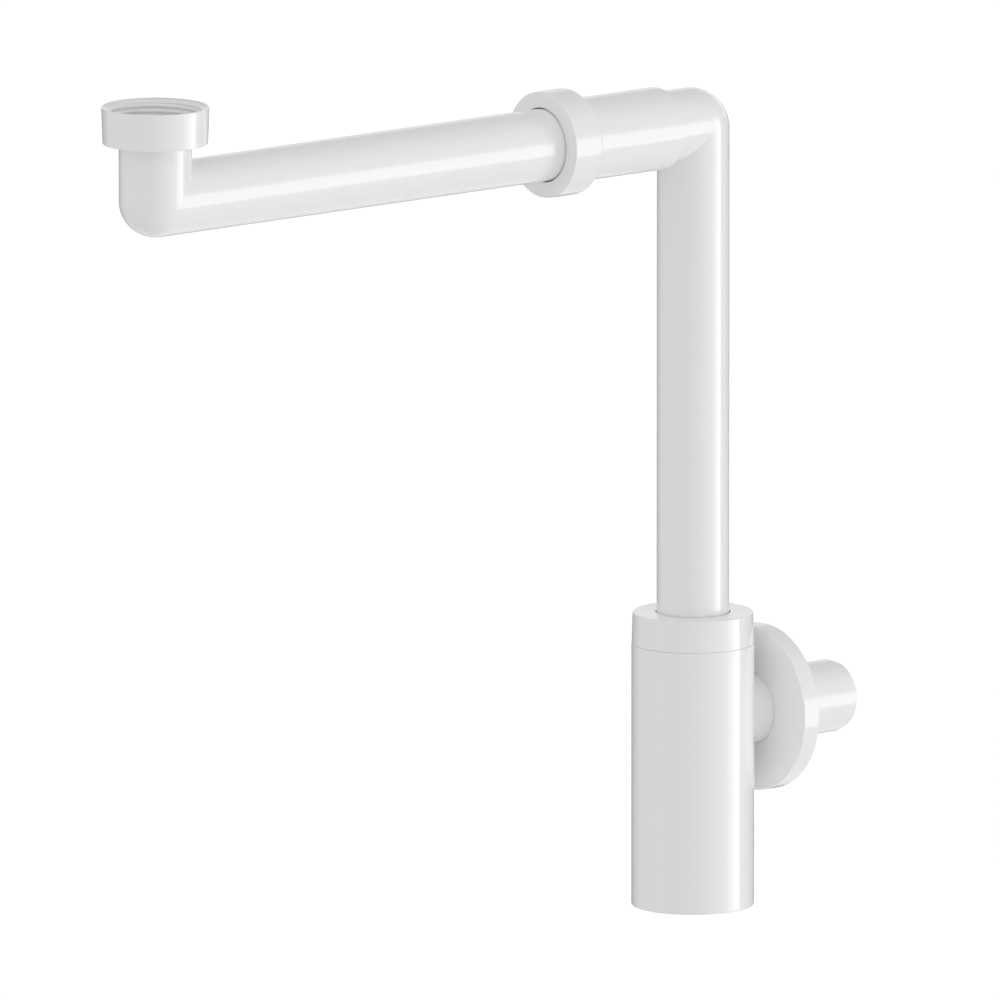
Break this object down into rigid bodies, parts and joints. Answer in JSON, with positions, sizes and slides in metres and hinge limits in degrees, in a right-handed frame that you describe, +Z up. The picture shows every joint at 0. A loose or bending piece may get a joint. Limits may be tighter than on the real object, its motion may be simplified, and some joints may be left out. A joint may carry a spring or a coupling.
{
  "type": "space saving sink trap",
  "caption": "Slim wall outlet bottle trap with a tall down pipe and a long reach arm that carries a threaded union nut for a basin waste.",
  "frame": {"origin": "on the outlet's axis in the plane of the wall, which is the rosette's back face", "axes": "+Y along the outlet into the wall, +Z up, +X to the right of someone who faces the wall; the arm runs towards -Y"},
  "size_m": [0.0736, 0.415, 0.3916],
  "materials": {
    "white_plastic": "smooth glossy white polypropylene",
    "slip_ring_plastic": "waxy natural polyethylene",
    "seal_rubber": "satin black rubber"
  },
  "bodies": {
    "bottle": {"bottle_body": "white_plastic"},
    "rosette": {"wall_rosette": "white_plastic"},
    "cap_ring": {"cap_slip_ring": "slip_ring_plastic"},
    "cap": {"cap_nut": "white_plastic"},
    "cap_packing": {"cap_seal": "seal_rubber"},
    "riser": {"down_pipe": "white_plastic"},
    "arm_ring": {"arm_slip_ring": "slip_ring_plastic"},
    "arm_collar": {"arm_nut": "white_plastic"},
    "arm_packing": {"arm_seal": "seal_rubber"},
    "arm": {"inlet_arm": "white_plastic", "inlet_gasket": "slip_ring_plastic"},
    "union": {"inlet_nut": "white_plastic"}
  },
  "joints": [
    {"name": "rosette_slide", "type": "slide", "parent": "bottle", "child": "rosette", "axis": [0, -1, 0], "range_m": [0, 0.0055]},
    {"name": "cap_ring_rise", "type": "slide", "parent": "bottle", "child": "cap_ring", "axis": [0, 0, 1], "range_m": [0, 0.006]},
    {"name": "cap_nut_turn", "type": "hinge", "parent": "cap_ring", "child": "cap", "pos_m": [0, -0.042, 0.04], "axis": [0, 0, 1], "range_deg": [0, 720]},
    {"name": "pipe_swivel", "type": "hinge", "parent": "bottle", "child": "cap_packing", "pos_m": [0, -0.042, 0.04], "axis": [0, 0, 1], "range_deg": [-90, 90]},
    {"name": "pipe_height", "type": "slide", "parent": "cap_packing", "child": "riser", "axis": [0, 0, 1], "range_m": [-0.008, 0.04]},
    {"name": "arm_ring_shift", "type": "slide", "parent": "riser", "child": "arm_ring", "axis": [0, -1, 0], "range_m": [0, 0.006]},
    {"name": "arm_nut_turn", "type": "hinge", "parent": "arm_ring", "child": "arm_collar", "pos_m": [0, -0.12375, 0.2656], "axis": [0, -1, 0], "range_deg": [0, 720]},
    {"name": "arm_swivel", "type": "hinge", "parent": "riser", "child": "arm_packing", "pos_m": [0, -0.12375, 0.2656], "axis": [0, 1, 0], "continuous": true},
    {"name": "arm_reach", "type": "slide", "parent": "arm_packing", "child": "arm", "axis": [0, -1, 0], "range_m": [-0.0035, 0.035]},
    {"name": "union_nut_turn", "type": "hinge", "parent": "arm", "child": "union", "pos_m": [0, -0.3504, 0.2656], "axis": [0, 0, 1], "continuous": true}
  ],
  "couplings": [
    {"joint": "cap_ring_rise", "follows": "cap_nut_turn", "m_per_rad": 0.000477},
    {"joint": "arm_ring_shift", "follows": "arm_nut_turn", "m_per_rad": 0.000477}
  ]
}
